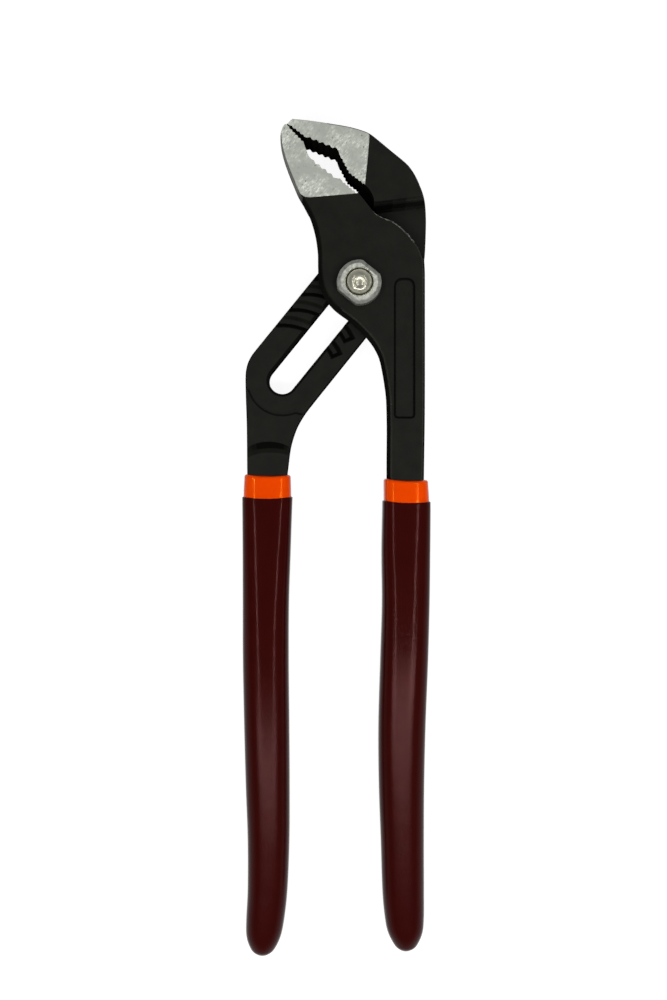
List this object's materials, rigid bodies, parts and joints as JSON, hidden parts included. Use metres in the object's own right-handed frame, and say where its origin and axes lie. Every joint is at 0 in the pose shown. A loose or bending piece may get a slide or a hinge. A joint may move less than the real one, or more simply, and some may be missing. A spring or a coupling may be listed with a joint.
{
  "type": "water pump pliers",
  "caption": "Slip-joint water pump pliers with an angled toothed jaw, a pivot bolt that slides in a grooved slot, black forged levers and long two-tone dipped grips.",
  "frame": {"origin": "on the pivot axis, at the flat outer face of the bolt head behind the rear lever", "axes": "+Y along the handles towards the jaws, +Z along the pivot axis from the bolt head towards the nut, +X towards the front lever's handle"},
  "size_m": [0.0564, 0.2514, 0.0208],
  "materials": {
    "black_steel": "black phosphated forging, ground bright on the jaw faces",
    "zinc_steel": "dull zinc plate",
    "orange_vinyl": "dipped vinyl, satin",
    "maroon_vinyl": "dipped vinyl, glossy"
  },
  "bodies": {
    "rear": {"rear_lever": "black_steel", "left_base_coat": "orange_vinyl", "left_top_coat": "maroon_vinyl"},
    "pivot": {"pivot_bolt": "zinc_steel", "pivot_nut": "zinc_steel"},
    "front": {"front_lever": "black_steel", "right_base_coat": "orange_vinyl", "right_top_coat": "maroon_vinyl"}
  },
  "joints": [
    {"name": "slot_slide", "type": "slide", "parent": "rear", "child": "pivot", "axis": [-0.6293, -0.7771, 0], "range_m": [0, 0.036]},
    {"name": "lever_hinge", "type": "hinge", "parent": "pivot", "child": "front", "pos_m": [0, 0, 0.0095], "axis": [0, 0, 1], "range_deg": [0, 55]}
  ]
}
